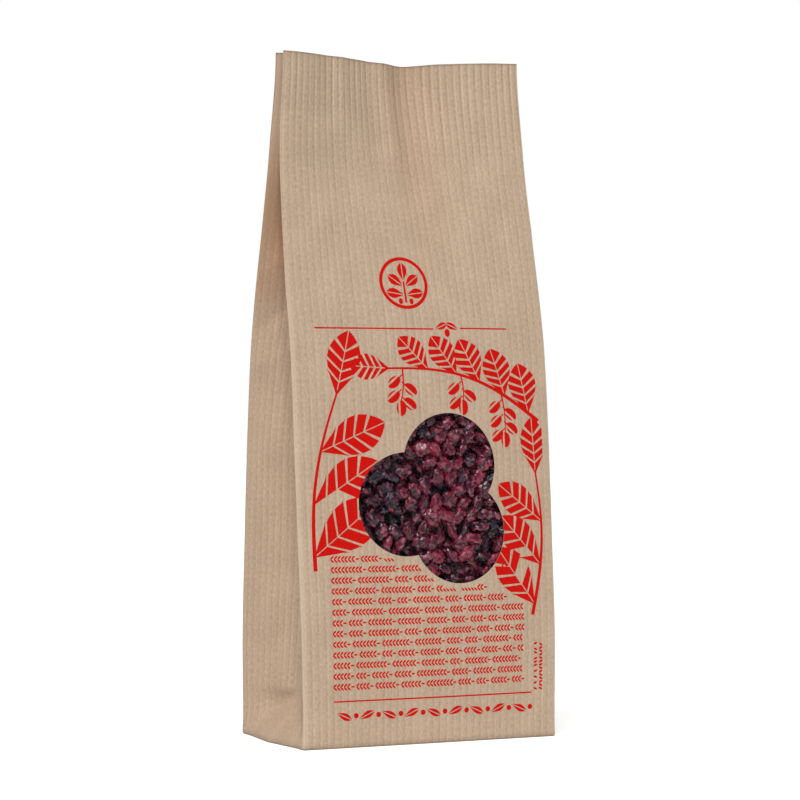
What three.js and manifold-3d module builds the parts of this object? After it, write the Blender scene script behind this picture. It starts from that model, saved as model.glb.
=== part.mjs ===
// A block-bottom bag of ribbed brown paper, filled with dried barberries that show through a window.
// Millimetres, +Z up. The origin is the middle of the base, and the front, with the window, faces -Y.
import * as THREE from "three";
import { mergeVertices } from "three/addons/utils/BufferGeometryUtils.js";
import Module from "manifold-3d";

const wasm = await Module();
wasm.setup();

// Driving dimensions of the bag
const BAG_WIDTH = 90;
const BAG_DEPTH = 51;
const BAG_HEIGHT = 222;
const PAPER = 0.6;
const FILM = 0.4;
const GAP = 0.3;

// The three round lobes of the window, as [x, z], all with one radius
const LOBES = [[7.2, 89.1], [-8.5, 76.6], [9.9, 67.6]];
const LOBE_RADIUS = 16.6;
const FILM_MARGIN = 6;

// The bag at each height, as [height, value]: it tapers from its square base to a pinched top.
const CREASE_DEPTH = [
  [0, BAG_DEPTH], [28, 50.4], [64, 45.2], [100, 39], [126, 33.5],
  [150, 23.8], [170, 15.8], [190, 9.4], [206, 7.4], [BAG_HEIGHT, 6.8],
];
const CREASE_WIDTH = [
  [0, BAG_WIDTH], [30, 90.8], [90, 91.8], [140, 92], [166, 90.8], [192, 89], [BAG_HEIGHT, 85.6],
];
// How far the middle line of each side fold lies inside the creases. Below FOLD_FOOT the side is a flat
// triangle that leans in from the base edge, and above it two walls meet at the middle line.
const FOLD_IN = [
  [0, 0], [15, 9.8], [26, 11.4], [45, 13], [64, 14.4], [92, 14.8], [112, 17], [124, 19.2], [142, 21.6],
  [160, 23.4], [190, 25], [BAG_HEIGHT, 25.2],
];
const FOLD_FOOT = 15;
const FOOT_SHARE = 0.45;
const FOOT_START = 0.25;
const FOOT_BOW = 0.7;
// How far the wide faces and the walls of the sides swell out
const FACE_SWELL = [
  [0, 0.3], [28, 1.6], [64, 3], [104, 3.2], [134, 2.2], [164, 0.2], [192, -1.8], [BAG_HEIGHT, -2.9],
];
const WALL_SWELL = [[0, 0.15], [30, 0.4], [64, 1.1], [112, 1.1], [140, 0.2], [BAG_HEIGHT, 0]];
// The pinched top bends back in a broad dish with a sharper valley in it, over both wide faces.
// Where the paper leans back it also stands lower.
const VALLEY_DEPTH = [[0, 0], [138, 0], [164, 1], [190, 3.6], [BAG_HEIGHT, 7.6]];
const VALLEY_MIDDLE = 5.5;
const VALLEY_FADE = 8;
const VALLEY_ROUNDING = 2;
const DISH_SHARE = 0.5;
const DROP_PER_DEPTH = 0.24;

// Folds and seams
const BASE_BEND = 0.7;
const BASE_PLY = 0.4;
const FLAP_LAP = 6;
const SEAM_X = 4;
const SEAM_WIDTH = 12;
const SEAM_STEP = 0.35;
const CAVITY_TOP = 198;
const RING_HEIGHTS = [
  BASE_BEND, 7.5, FOLD_FOOT, 28, 46, 64, 82, 98, 112, 125, 138, 149, 160, 170, 180, 190, 198, 206, 214, BAG_HEIGHT,
];

// The filling and its berries
const FILL_TOP = 118;
const FILL_DOME = 5;
const RELIEF = 1.1;
const BERRY_LENGTH = 7.6;
const BERRY_RADIUS = 2.2;
const BERRY_PITCH = 5.1;
const TOP_BERRY_PITCH = 10;
const BERRY_STAND = 2.7;

const COLOURS = {
  paper: 0xbf9f86,
  film: 0xf2efe8,
  berries: 0x4a141d,
};

// A smooth curve through [height, value] stations
function profile(stations, z) {
  const last = stations.length - 1;
  let i = 0;
  while (i < last - 1 && z > stations[i + 1][0]) i++;
  const [za, a] = stations[i];
  const [zb, b] = stations[i + 1];
  const slope = (j) => {
    if (j === 0 || j === last) return 0;
    const before = (stations[j][1] - stations[j - 1][1]) / (stations[j][0] - stations[j - 1][0]);
    const after = (stations[j + 1][1] - stations[j][1]) / (stations[j + 1][0] - stations[j][0]);
    return before * after <= 0 ? 0 : (2 * before * after) / (before + after);
  };
  const span = zb - za;
  const t = (Math.min(Math.max(z, za), zb) - za) / span;
  const t2 = t * t;
  const t3 = t2 * t;
  return (
    (2 * t3 - 3 * t2 + 1) * a + (t3 - 2 * t2 + t) * span * slope(i) +
    (3 * t2 - 2 * t3) * b + (t3 - t2) * span * slope(i + 1)
  );
}

function valley(x, z) {
  const u = Math.min(Math.abs(x) / (profile(CREASE_WIDTH, z) / 2), 1);
  const dish = 0.5 + 0.5 * Math.cos(Math.PI * u);
  const away = Math.hypot(x - VALLEY_MIDDLE, VALLEY_ROUNDING);
  const sharp = Math.exp((VALLEY_ROUNDING - away) / VALLEY_FADE);
  return profile(VALLEY_DEPTH, z) * (DISH_SHARE * dish + (1 - DISH_SHARE) * sharp);
}

// The outer face of the front at a place on it
function frontY(x, z) {
  const t = x / profile(CREASE_WIDTH, z) + 0.5;
  return -profile(CREASE_DEPTH, z) / 2 - profile(FACE_SWELL, z) * Math.sin(Math.PI * t) + valley(x, z);
}

// Where two lines meet, each given by a point and a direction. Lines in one run meet at the second point.
function meet(p, u, q, v) {
  const turn = u[0] * v[1] - u[1] * v[0];
  if (Math.abs(turn) < 1e-6) return q;
  const s = ((q[0] - p[0]) * v[1] - (q[1] - p[1]) * v[0]) / turn;
  return [p[0] + u[0] * s, p[1] + u[1] * s];
}

// The ten creases of the folded tube at a height, moved inwards: two corners in front, the three lines of
// a side fold, two corners behind, and the other side fold
const FRONT = 0;
const BACK = 5;
function creases(z, insets) {
  const w = profile(CREASE_WIDTH, z) / 2;
  const d = profile(CREASE_DEPTH, z) / 2;
  const fold = profile(FOLD_IN, z);
  const foot = Math.min(z / FOLD_FOOT, 1);
  const share = Math.max(foot, FOOT_START) * FOOT_SHARE;
  // The lines beside the middle one bound the leaning triangle, and higher up they lie on the walls.
  const beside = w - fold * (foot < 1 ? 1 : 2 * FOOT_SHARE);
  const middle = w - fold + FOOT_BOW * (1 - foot) ** 2;
  const reach = d - 2 * d * share;
  const half = [[-w, -d], [w, -d], [beside, -reach], [middle, 0], [beside, reach]];
  const outer = [...half, ...half.map(([x, y]) => [-x, -y])];
  const sides = outer.map((a, i) => {
    const b = outer[(i + 1) % outer.length];
    const length = Math.hypot(b[0] - a[0], b[1] - a[1]);
    const along = [(b[0] - a[0]) / length, (b[1] - a[1]) / length];
    const inset = i === FRONT ? insets.front : i === BACK ? insets.back : insets.side;
    return { at: [a[0] - along[1] * inset, a[1] + along[0] * inset], along };
  });
  return sides.map((side, i) => {
    const before = sides[(i + sides.length - 1) % sides.length];
    return meet(before.at, before.along, side.at, side.along);
  });
}

const NO_INSET = { front: 0, side: 0, back: 0 };
const FACE_STEPS = 18;
const WALL_STEPS = 4;
const FACE_SAMPLES = Array.from({ length: FACE_STEPS }, (_, k) => k / FACE_STEPS);
const WALL_SAMPLES = Array.from({ length: WALL_STEPS }, (_, k) => k / WALL_STEPS);
// The two narrow strips on either side of the middle line of a fold
const STRIPS = [2, 3, 7, 8];

// Samples along the back, with a close pair at each edge of the glued seam
function backSamples(width) {
  const share = (x) => 0.5 - x / width;
  const step = SEAM_STEP / width;
  const edges = [share(SEAM_X + SEAM_WIDTH / 2), share(SEAM_X - SEAM_WIDTH / 2)];
  const rest = FACE_SAMPLES.filter((t) => edges.every((e) => Math.abs(t - e) > 0.02));
  return [...rest, ...edges.flatMap((e) => [e - step, e + step])].sort((a, b) => a - b);
}

// The places along one stretch of the outline where it gets a point
function samplesOf(i, length, seam) {
  if (i === FRONT) return FACE_SAMPLES;
  if (i === BACK) return seam ? backSamples(length) : FACE_SAMPLES;
  return STRIPS.includes(i) ? [0] : WALL_SAMPLES;
}

// The closed outline of the tube at a height. Faces and walls swell between creases, and the valley bends them.
function ring(z, insets = NO_INSET, seam = false) {
  const corners = creases(z, insets);
  const faceSwell = profile(FACE_SWELL, z);
  const wallSwell = profile(WALL_SWELL, z);
  const points = [];
  corners.forEach((a, i) => {
    const b = corners[(i + 1) % corners.length];
    const length = Math.hypot(b[0] - a[0], b[1] - a[1]);
    const out = [(b[1] - a[1]) / length, -(b[0] - a[0]) / length];
    const most = i === FRONT || i === BACK ? faceSwell : wallSwell;
    for (const t of samplesOf(i, length, seam)) {
      const swell = most * Math.sin(Math.PI * t);
      const x = a[0] + (b[0] - a[0]) * t + out[0] * swell;
      let y = a[1] + (b[1] - a[1]) * t + out[1] * swell;
      if (i === BACK && seam && Math.abs(x - SEAM_X) < SEAM_WIDTH / 2) y += SEAM_STEP;
      const bend = valley(x, z);
      points.push(new THREE.Vector3(x, y + bend, z - bend * DROP_PER_DEPTH));
    }
  });
  return points;
}

function scaled(points, share, z) {
  const middle = points.reduce((sum, p) => sum.add(p), new THREE.Vector3()).divideScalar(points.length);
  return points.map((p) => new THREE.Vector3(
    middle.x + (p.x - middle.x) * share, middle.y + (p.y - middle.y) * share, z,
  ));
}

// A closed skin through rings of points, all with the same count
function loft(rings) {
  const count = rings[0].length;
  const positions = rings.flatMap((points) => points.flatMap((p) => [p.x, p.y, p.z]));
  const index = [];
  for (let r = 0; r + 1 < rings.length; r++) {
    for (let i = 0; i < count; i++) {
      const [a, b] = [r * count + i, r * count + ((i + 1) % count)];
      const [c, d] = [a + count, b + count];
      index.push(a, b, d, a, d, c);
    }
  }
  const cap = (start, points, up) => {
    const flat = points.map((p) => new THREE.Vector2(p.x, p.y));
    for (const [a, b, c] of THREE.ShapeUtils.triangulateShape(flat, [])) {
      index.push(start + a, start + (up ? b : c), start + (up ? c : b));
    }
  };
  cap(0, rings[0], false);
  cap((rings.length - 1) * count, rings[rings.length - 1], true);
  return new THREE.BufferGeometry()
    .setAttribute("position", new THREE.Float32BufferAttribute(positions, 3))
    .setIndex(index);
}

function solidOf(geometry) {
  const bare = geometry.clone();
  bare.deleteAttribute("normal");
  bare.deleteAttribute("uv");
  const merged = mergeVertices(bare, 1e-4);
  return new wasm.Manifold(new wasm.Mesh({
    numProp: 3,
    vertProperties: Float32Array.from(merged.attributes.position.array),
    triVerts: Uint32Array.from(merged.index.array),
  }));
}

// The outer skin of a solid alone: hollows that its pieces close off between them are filled.
function withoutHollows(solid) {
  const { vertProperties, triVerts } = solid.getMesh();
  const parent = Array.from({ length: vertProperties.length / 3 }, (_, i) => i);
  const root = (i) => {
    while (parent[i] !== i) i = parent[i] = parent[parent[i]];
    return i;
  };
  for (let t = 0; t < triVerts.length; t += 3) {
    parent[root(triVerts[t])] = root(triVerts[t + 1]);
    parent[root(triVerts[t])] = root(triVerts[t + 2]);
  }
  const skins = new Map();
  for (let t = 0; t < triVerts.length; t += 3) {
    const key = root(triVerts[t]);
    if (!skins.has(key)) skins.set(key, []);
    skins.get(key).push(triVerts[t], triVerts[t + 1], triVerts[t + 2]);
  }
  const largest = [...skins.values()].reduce((a, b) => (b.length > a.length ? b : a));
  return solidOf(new THREE.BufferGeometry()
    .setAttribute("position", new THREE.Float32BufferAttribute(vertProperties, 3))
    .setIndex(largest));
}

function geometryOf(solid) {
  const mesh = solid.getMesh();
  const geometry = new THREE.BufferGeometry()
    .setAttribute("position", new THREE.Float32BufferAttribute(mesh.vertProperties, 3))
    .setIndex(Array.from(mesh.triVerts));
  geometry.computeVertexNormals();
  return geometry;
}

// A seeded source of numbers from 0 to 1
function seeded(seed) {
  let state = seed;
  return () => {
    state = (state + 0x6d2b79f5) | 0;
    let t = Math.imul(state ^ (state >>> 15), 1 | state);
    t = (t + Math.imul(t ^ (t >>> 7), 61 | t)) ^ t;
    return ((t ^ (t >>> 14)) >>> 0) / 4294967296;
  };
}

// The folded paper
function bagOutside() {
  const foot = ring(BASE_BEND, NO_INSET, true);
  const base = scaled(foot, 1 - (2 * BASE_BEND) / BAG_WIDTH, 0);
  return loft([base, ...RING_HEIGHTS.map((z) => ring(z, NO_INSET, true))]);
}

function bagInside() {
  const insets = { front: PAPER, side: PAPER, back: PAPER };
  const floor = PAPER + BASE_PLY;
  const heights = [floor, ...RING_HEIGHTS.filter((z) => z > floor && z <= CAVITY_TOP)];
  return loft(heights.map((z) => ring(z, insets)));
}

// One lobe of the window, as a round punch through the front alone
function lobePunch([x, z]) {
  const punch = new THREE.CylinderGeometry(LOBE_RADIUS, LOBE_RADIUS, BAG_DEPTH, 48);
  return solidOf(punch.translate(x, -BAG_DEPTH / 2 - PAPER, z));
}

// The base is folded: under each end a triangle of the inner ply shows between the two long flaps.
function endTriangle(side) {
  const reach = BAG_DEPTH / 2 - FLAP_LAP / 2;
  const edge = side * (BAG_WIDTH / 2 + 2);
  const outline = new THREE.Shape([
    new THREE.Vector2(edge, -BAG_DEPTH / 2 - 1),
    new THREE.Vector2(edge, BAG_DEPTH / 2 + 1),
    new THREE.Vector2(edge - side * (reach + 2), FLAP_LAP / 2),
    new THREE.Vector2(edge - side * (reach + 2), -FLAP_LAP / 2),
  ]);
  return solidOf(new THREE.ExtrudeGeometry(outline, { depth: BASE_PLY + 1, bevelEnabled: false })
    .translate(0, 0, -1));
}

// The edge of the front flap, which laps over the back one
function lapGroove() {
  const width = 0.6;
  const length = BAG_WIDTH - BAG_DEPTH + FLAP_LAP;
  return solidOf(new THREE.BoxGeometry(length, width, 2 * SEAM_STEP).translate(0, FLAP_LAP, 0));
}

function paperBag() {
  let bag = solidOf(bagOutside()).subtract(solidOf(bagInside()));
  for (const lobe of LOBES) bag = bag.subtract(lobePunch(lobe));
  for (const side of [-1, 1]) bag = bag.subtract(endTriangle(side));
  return geometryOf(bag.subtract(lapGroove()));
}

// The window's reach over all its lobes, with a margin: [low x, high x, low z, high z]
function windowReach(margin) {
  const xs = LOBES.map((lobe) => lobe[0]);
  const zs = LOBES.map((lobe) => lobe[1]);
  const reach = LOBE_RADIUS + margin;
  return [Math.min(...xs) - reach, Math.max(...xs) + reach, Math.min(...zs) - reach, Math.max(...zs) + reach];
}

// How far outside the window's outline a place lies, negative inside it
function outsideWindow(x, z) {
  return Math.min(...LOBES.map((lobe) => Math.hypot(x - lobe[0], z - lobe[1]))) - LOBE_RADIUS;
}

// The clear sheet glued behind the window, bent like the front
function windowFilm() {
  const [lowX, highX, lowZ, highZ] = windowReach(FILM_MARGIN);
  const [across, up] = [14, 16];
  const rows = [];
  for (const back of [0, 1]) {
    for (let r = 0; r <= up; r++) {
      const z = lowZ + ((highZ - lowZ) * r) / up;
      for (let k = 0; k <= across; k++) {
        const x = lowX + ((highX - lowX) * k) / across;
        rows.push(x, frontY(x, z) + PAPER + GAP + back * FILM, z);
      }
    }
  }
  const at = (back, r, k) => back * (across + 1) * (up + 1) + r * (across + 1) + k;
  const index = [];
  const quad = (a, b, c, d) => index.push(a, b, c, a, c, d);
  for (let r = 0; r < up; r++) {
    for (let k = 0; k < across; k++) {
      quad(at(0, r, k), at(0, r, k + 1), at(0, r + 1, k + 1), at(0, r + 1, k));
      quad(at(1, r, k), at(1, r + 1, k), at(1, r + 1, k + 1), at(1, r, k + 1));
    }
    quad(at(0, r, 0), at(0, r + 1, 0), at(1, r + 1, 0), at(1, r, 0));
    quad(at(0, r, across), at(1, r, across), at(1, r + 1, across), at(0, r + 1, across));
  }
  for (let k = 0; k < across; k++) {
    quad(at(0, 0, k), at(1, 0, k), at(1, 0, k + 1), at(0, 0, k + 1));
    quad(at(0, up, k), at(0, up, k + 1), at(1, up, k + 1), at(1, up, k));
  }
  const film = new THREE.BufferGeometry()
    .setAttribute("position", new THREE.Float32BufferAttribute(rows, 3))
    .setIndex(index);
  film.computeVertexNormals();
  return film;
}

// A shrivelled berry about its own X: a spindle whose ridges and hollows take turns round it
function berry(place, turn, length, radius) {
  const sides = 6;
  const stations = [[-0.3, 0.8], [0.02, 1], [0.32, 0.74]];
  const points = [new THREE.Vector3(-length / 2, 0, 0)];
  for (const [along, girth] of stations) {
    for (let k = 0; k < sides; k++) {
      const angle = (2 * Math.PI * k) / sides;
      const r = radius * girth * (k % 2 ? 0.78 : 1);
      points.push(new THREE.Vector3(along * length, r * Math.cos(angle), r * Math.sin(angle)));
    }
  }
  points.push(new THREE.Vector3(length / 2, 0, 0));
  const last = points.length - 1;
  const index = [];
  for (let k = 0; k < sides; k++) {
    const next = (k + 1) % sides;
    index.push(0, 1 + next, 1 + k);
    for (let s = 0; s + 1 < stations.length; s++) {
      const [a, b] = [1 + s * sides + k, 1 + s * sides + next];
      index.push(a, b, b + sides, a, b + sides, a + sides);
    }
    index.push(last, last - sides + k, last - sides + next);
  }
  const positions = points.flatMap((p) => p.applyEuler(turn).add(place).toArray());
  return solidOf(new THREE.BufferGeometry()
    .setAttribute("position", new THREE.Float32BufferAttribute(positions, 3))
    .setIndex(index));
}

// Places on a lattice of staggered rows, each moved a little
function scatter(lowU, highU, lowV, highV, pitch, random) {
  const places = [];
  const rowGap = pitch * Math.sqrt(0.75);
  for (let row = 0; lowV + row * rowGap <= highV; row++) {
    for (let u = lowU + ((row % 2) * pitch) / 2; u <= highU; u += pitch) {
      const [du, dv] = [random() - 0.5, random() - 0.5];
      places.push([u + du * 0.4 * pitch, lowV + row * rowGap + dv * 0.4 * pitch]);
    }
  }
  return places;
}

// The packed bulk of the filling. Its hidden faces are pressed against the paper and keep a coarse relief.
function fillCore() {
  const front = PAPER + GAP + FILM + GAP + BERRY_STAND;
  const walls = PAPER + SEAM_STEP + GAP + RELIEF;
  const insets = { front, side: walls, back: walls };
  const floor = PAPER + BASE_PLY + GAP;
  const steps = 20;
  const rings = [];
  for (let r = 0; r <= steps; r++) {
    const z = floor + ((FILL_TOP - floor) * r) / steps;
    rings.push(ring(z, insets).map((p, i) => {
      const lump = RELIEF * (((i + 2 * r) % 3) - 1) * (r === 0 ? 0 : 1);
      const away = new THREE.Vector2(p.x, p.y).normalize().multiplyScalar(lump * 0.6);
      return new THREE.Vector3(p.x + away.x, p.y + away.y, z);
    }));
  }
  const rim = rings[rings.length - 1];
  for (const [share, rise] of [[0.86, 0.5], [0.6, 0.85], [0.3, 1]]) {
    rings.push(scaled(rim, share, FILL_TOP + FILL_DOME * rise));
  }
  return loft(rings);
}

function barberries() {
  const random = seeded(7);
  const inWindow = [];
  const [lowX, highX, lowZ, highZ] = windowReach(0);
  for (const [x, z] of scatter(lowX, highX, lowZ, highZ, BERRY_PITCH, random)) {
    const size = 0.88 + 0.24 * random();
    const turn = new THREE.Euler(0.5 * (random() - 0.5), Math.PI * random(), 0.5 * (random() - 0.5));
    const sunk = 1.1 * random();
    if (outsideWindow(x, z) > BERRY_RADIUS / 2) continue;
    const y = frontY(x, z) + PAPER + 2 * GAP + FILM + BERRY_RADIUS * size * 1.15 + sunk;
    inWindow.push(berry(new THREE.Vector3(x, y, z), turn, BERRY_LENGTH * size, BERRY_RADIUS * size));
  }
  const halfX = BAG_WIDTH / 2 - profile(FOLD_IN, FILL_TOP) - BERRY_LENGTH;
  const halfY = profile(CREASE_DEPTH, FILL_TOP) / 2 - BERRY_LENGTH;
  const onTop = scatter(-halfX, halfX, -halfY, halfY, TOP_BERRY_PITCH, random).map(([x, y]) => {
    const size = 0.9 + 0.2 * random();
    const away = Math.max(Math.abs(x) / halfX, Math.abs(y) / halfY);
    const z = FILL_TOP + FILL_DOME * (1 - 0.75 * away ** 2);
    const turn = new THREE.Euler(0, 0.4 * (random() - 0.5), Math.PI * random());
    return berry(new THREE.Vector3(x, y, z), turn, BERRY_LENGTH * size, BERRY_RADIUS * size);
  });
  const all = [...inWindow, ...onTop].reduce((sum, one) => sum.add(one), solidOf(fillCore()));
  return geometryOf(withoutHollows(all));
}

function node(name, geometry, material) {
  const mesh = new THREE.Mesh(geometry, material);
  mesh.name = name;
  return mesh;
}

const paper = new THREE.MeshStandardMaterial({ color: COLOURS.paper, roughness: 0.85, metalness: 0 });
const film = new THREE.MeshStandardMaterial({
  color: COLOURS.film, roughness: 0.1, metalness: 0, transparent: true, opacity: 0.2,
});
const berries = new THREE.MeshStandardMaterial({ color: COLOURS.berries, roughness: 0.4, metalness: 0 });

const bag = new THREE.Group();
bag.name = "bag_of_dried_barberries";
bag.add(
  node("paper_bag", paperBag(), paper),
  node("window_film", windowFilm(), film),
  node("barberries", barberries(), berries),
);
export default bag;
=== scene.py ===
"""A filled block-bottom bag of ribbed brown paper, with dried barberries behind its clear window.

Sizes and places are in millimetres until a mesh is made, and MM turns them to the frame's metres.
"""

import math
import random
from functools import lru_cache

import bpy
import numpy as np
from mathutils import Euler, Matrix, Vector, noise


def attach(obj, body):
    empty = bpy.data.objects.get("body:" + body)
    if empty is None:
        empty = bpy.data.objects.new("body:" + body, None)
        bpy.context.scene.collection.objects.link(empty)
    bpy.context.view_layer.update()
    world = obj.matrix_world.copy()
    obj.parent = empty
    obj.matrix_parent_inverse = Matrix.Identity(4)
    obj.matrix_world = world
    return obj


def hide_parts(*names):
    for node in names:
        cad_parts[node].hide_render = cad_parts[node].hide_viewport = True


MM = 0.001

# Driving dimensions of the bag, as in the part
BAG_WIDTH = 90.0
BAG_DEPTH = 51.0
BAG_HEIGHT = 222.0

# Stations up the bag, as (height, value): the distances between the creases, from front to back and across,
# how far the side folds reach in, and how far the faces and the side walls swell
CREASE_DEPTH = (
    (0, BAG_DEPTH), (28, 50.4), (64, 45.2), (100, 39), (126, 33.5),
    (150, 23.8), (170, 15.8), (190, 9.4), (206, 7.4), (BAG_HEIGHT, 6.8),
)
CREASE_WIDTH = (
    (0, BAG_WIDTH), (30, 90.8), (90, 91.8), (140, 92), (166, 90.8), (192, 89), (BAG_HEIGHT, 85.6),
)
FOLD_IN = (
    (0, 0), (15, 9.8), (26, 11.4), (45, 13), (64, 14.4), (92, 14.8), (112, 17), (124, 19.2), (142, 21.6),
    (160, 23.4), (190, 25), (BAG_HEIGHT, 25.2),
)
FACE_SWELL = (
    (0, 0.3), (28, 1.6), (64, 3), (104, 3.2), (134, 2.2), (164, 0.2), (192, -1.8), (BAG_HEIGHT, -2.9),
)
WALL_SWELL = ((0, 0.15), (30, 0.4), (64, 1.1), (112, 1.1), (140, 0.2), (BAG_HEIGHT, 0))

# The foot of the side folds, where they open out into the flat triangles of the block bottom
FOLD_FOOT = 15.0
FOOT_SHARE = 0.45
FOOT_START = 0.25
FOOT_BOW = 2.0

# The dent in the upper part: its depth up the bag, its shape across, and how far it lowers the top edge
VALLEY_DEPTH = ((0, 0), (130, 0), (150, 1.2), (170, 3), (190, 5.6), (BAG_HEIGHT, 10))
VALLEY_MIDDLE = 5.5
VALLEY_FADE = 8.0
VALLEY_ROUNDING = 2.0
DISH_SHARE = 0.5
DROP_PER_DEPTH = 0.155

# The window's lobes, as (x, z), how far the film reaches past them, and the filling
LOBES = ((7.2, 89.1), (-8.5, 76.6), (9.9, 67.6))
LOBE_RADIUS = 16.6
FILM_MARGIN = 6.0
FILL_TOP = 118.0
FILL_DOME = 5.0

# Flat paper, measured round the sheet from the front left crease
PAPER = 0.2
FRONT_RIGHT = BAG_WIDTH
BACK_RIGHT = FRONT_RIGHT + BAG_DEPTH
BACK_LEFT = BACK_RIGHT + BAG_WIDTH
AROUND = BACK_LEFT + BAG_DEPTH
SIDE_MIDDLE_RIGHT = FRONT_RIGHT + BAG_DEPTH / 2
SIDE_MIDDLE_LEFT = BACK_LEFT + BAG_DEPTH / 2

# The glued seam down the back, and the ends of the sheet that meet in it
SEAM_X = 4.0
SEAM_WIDTH = 12.0
SEAM_STEP = 0.3
SHEET_START = BACK_RIGHT + BAG_WIDTH / 2 - SEAM_X - SEAM_WIDTH / 2
SHEET_END = SHEET_START + AROUND + SEAM_WIDTH

# How round the creases are, how the sheet turns in under the base, its top rows and the pitch of its columns
CREASE_ROUND = 1.0
BASE_BEND = 0.7
TOP_EDGE = 0.8
COLUMN_PITCH = 1.35

# The block bottom: the heights of its three plies, and where on the flat sheet its pattern is taken from
FRONT_FLAP_Z = 0.1
BACK_FLAP_Z = 0.32
INNER_PLY_Z = 0.5
BASE_INSET = 0.4
FLAP_LAP = 6.0
BASE_PATTERN = 60.0

# The length of flat paper that its UV map covers
UV_SPAN = 500.0

# Ribs are pressed into this paper every 2.45 mm, along its length
RIB_PITCH = 2.45


# Small helpers

def colour(hex_code):
    """An sRGB hex value as linear numbers."""
    channels = [int(hex_code[i:i + 2], 16) / 255 for i in (0, 2, 4)]
    linear = [c / 12.92 if c <= 0.04045 else ((c + 0.055) / 1.055) ** 2.4 for c in channels]
    return (*linear, 1.0)


def between(value, low, high):
    """0 below low, 1 above high, and an even rise between them."""
    return min(max((value - low) / (high - low), 0), 1)


def fading(away, width):
    """1 at no distance, and softly down to nothing at about twice the width."""
    return math.exp(-(away / width) ** 2)


def only(piece):
    """Selects one piece alone and makes it the active one."""
    bpy.ops.object.select_all(action="DESELECT")
    piece.select_set(True)
    bpy.context.view_layer.objects.active = piece


def finish_with(piece, kind, **settings):
    """Adds a modifier with its settings and applies it."""
    only(piece)
    modifier = piece.modifiers.new(kind.title(), kind)
    for name, value in settings.items():
        setattr(modifier, name, value)
    bpy.ops.object.modifier_apply(modifier=modifier.name)


def edit_all(piece, operator, **settings):
    """Runs one edit mode operator on the whole mesh of a piece."""
    only(piece)
    bpy.ops.object.mode_set(mode="EDIT")
    bpy.ops.mesh.select_all(action="SELECT")
    operator(**settings)
    bpy.ops.object.mode_set(mode="OBJECT")


def smooth(piece, degrees=50):
    """Shades a piece smooth, except over edges that are sharper than the angle."""
    only(piece)
    bpy.ops.object.shade_smooth_by_angle(angle=math.radians(degrees))


def joined(pieces, name):
    """Makes one piece of several, under a new name."""
    bpy.ops.object.select_all(action="DESELECT")
    for piece in pieces:
        piece.select_set(True)
    bpy.context.view_layer.objects.active = pieces[0]
    bpy.ops.object.join()
    pieces[0].name = name
    pieces[0].data.name = name
    return pieces[0]


def new_primitive(operator, name, **settings):
    """A primitive under the piece's own name."""
    bpy.ops.object.select_all(action="DESELECT")
    operator(**settings)
    piece = bpy.context.active_object
    piece.name = name
    piece.data.name = name
    return piece


def place_in_mesh(piece):
    """Moves the object's place and turn into its mesh."""
    only(piece)
    bpy.ops.object.transform_apply(location=True, rotation=True, scale=True)


def dress(piece, material):
    """Gives a finished piece its material and the object's one body."""
    piece.data.materials.clear()
    piece.data.materials.append(material)
    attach(piece, "root")


def add_node(owner, kind, inputs=None, **settings):
    """A node of a material or the world. Each input is a value, or a socket that it is linked from."""
    tree = owner.node_tree
    node = tree.nodes.new(kind)
    for name, value in settings.items():
        setattr(node, name, value)
    for name, value in (inputs or {}).items():
        if isinstance(value, bpy.types.NodeSocket):
            tree.links.new(value, node.inputs[name])
        else:
            node.inputs[name].default_value = value
    return node


def new_material(name):
    """An empty node material."""
    material = bpy.data.materials.new(name)
    material.use_nodes = True
    material.node_tree.nodes.clear()
    return material


def shown_by(material, shader):
    """The material, with its surface linked from its last shader."""
    add_node(material, "ShaderNodeOutputMaterial", {"Surface": shader.outputs[0]})
    return material


# The folded sheet

def profile(stations, z):
    """A smooth curve through (height, value) stations, as in the part's source."""
    last = len(stations) - 1
    i = next((k for k in range(last) if z <= stations[k + 1][0]), last - 1)
    (low, a), (high, b) = stations[i], stations[i + 1]

    def slope(j):
        if j in (0, last):
            return 0.0
        before = (stations[j][1] - stations[j - 1][1]) / (stations[j][0] - stations[j - 1][0])
        after = (stations[j + 1][1] - stations[j][1]) / (stations[j + 1][0] - stations[j][0])
        return 0.0 if before * after <= 0 else 2 * before * after / (before + after)

    span = high - low
    t = (min(max(z, low), high) - low) / span
    rise = (2 * t**3 - 3 * t**2 + 1) * a + (3 * t**2 - 2 * t**3) * b
    return rise + span * ((t**3 - 2 * t**2 + t) * slope(i) + (t**3 - t**2) * slope(i + 1))


def valley(x, z):
    """How far the dent in the bag's upper part pushes the paper back."""
    u = min(abs(x) / (profile(CREASE_WIDTH, z) / 2), 1)
    dish = 0.5 + 0.5 * math.cos(math.pi * u)
    away = math.hypot(x - VALLEY_MIDDLE, VALLEY_ROUNDING)
    sharp = math.exp((VALLEY_ROUNDING - away) / VALLEY_FADE)
    return profile(VALLEY_DEPTH, z) * (DISH_SHARE * dish + (1 - DISH_SHARE) * sharp)


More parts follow.
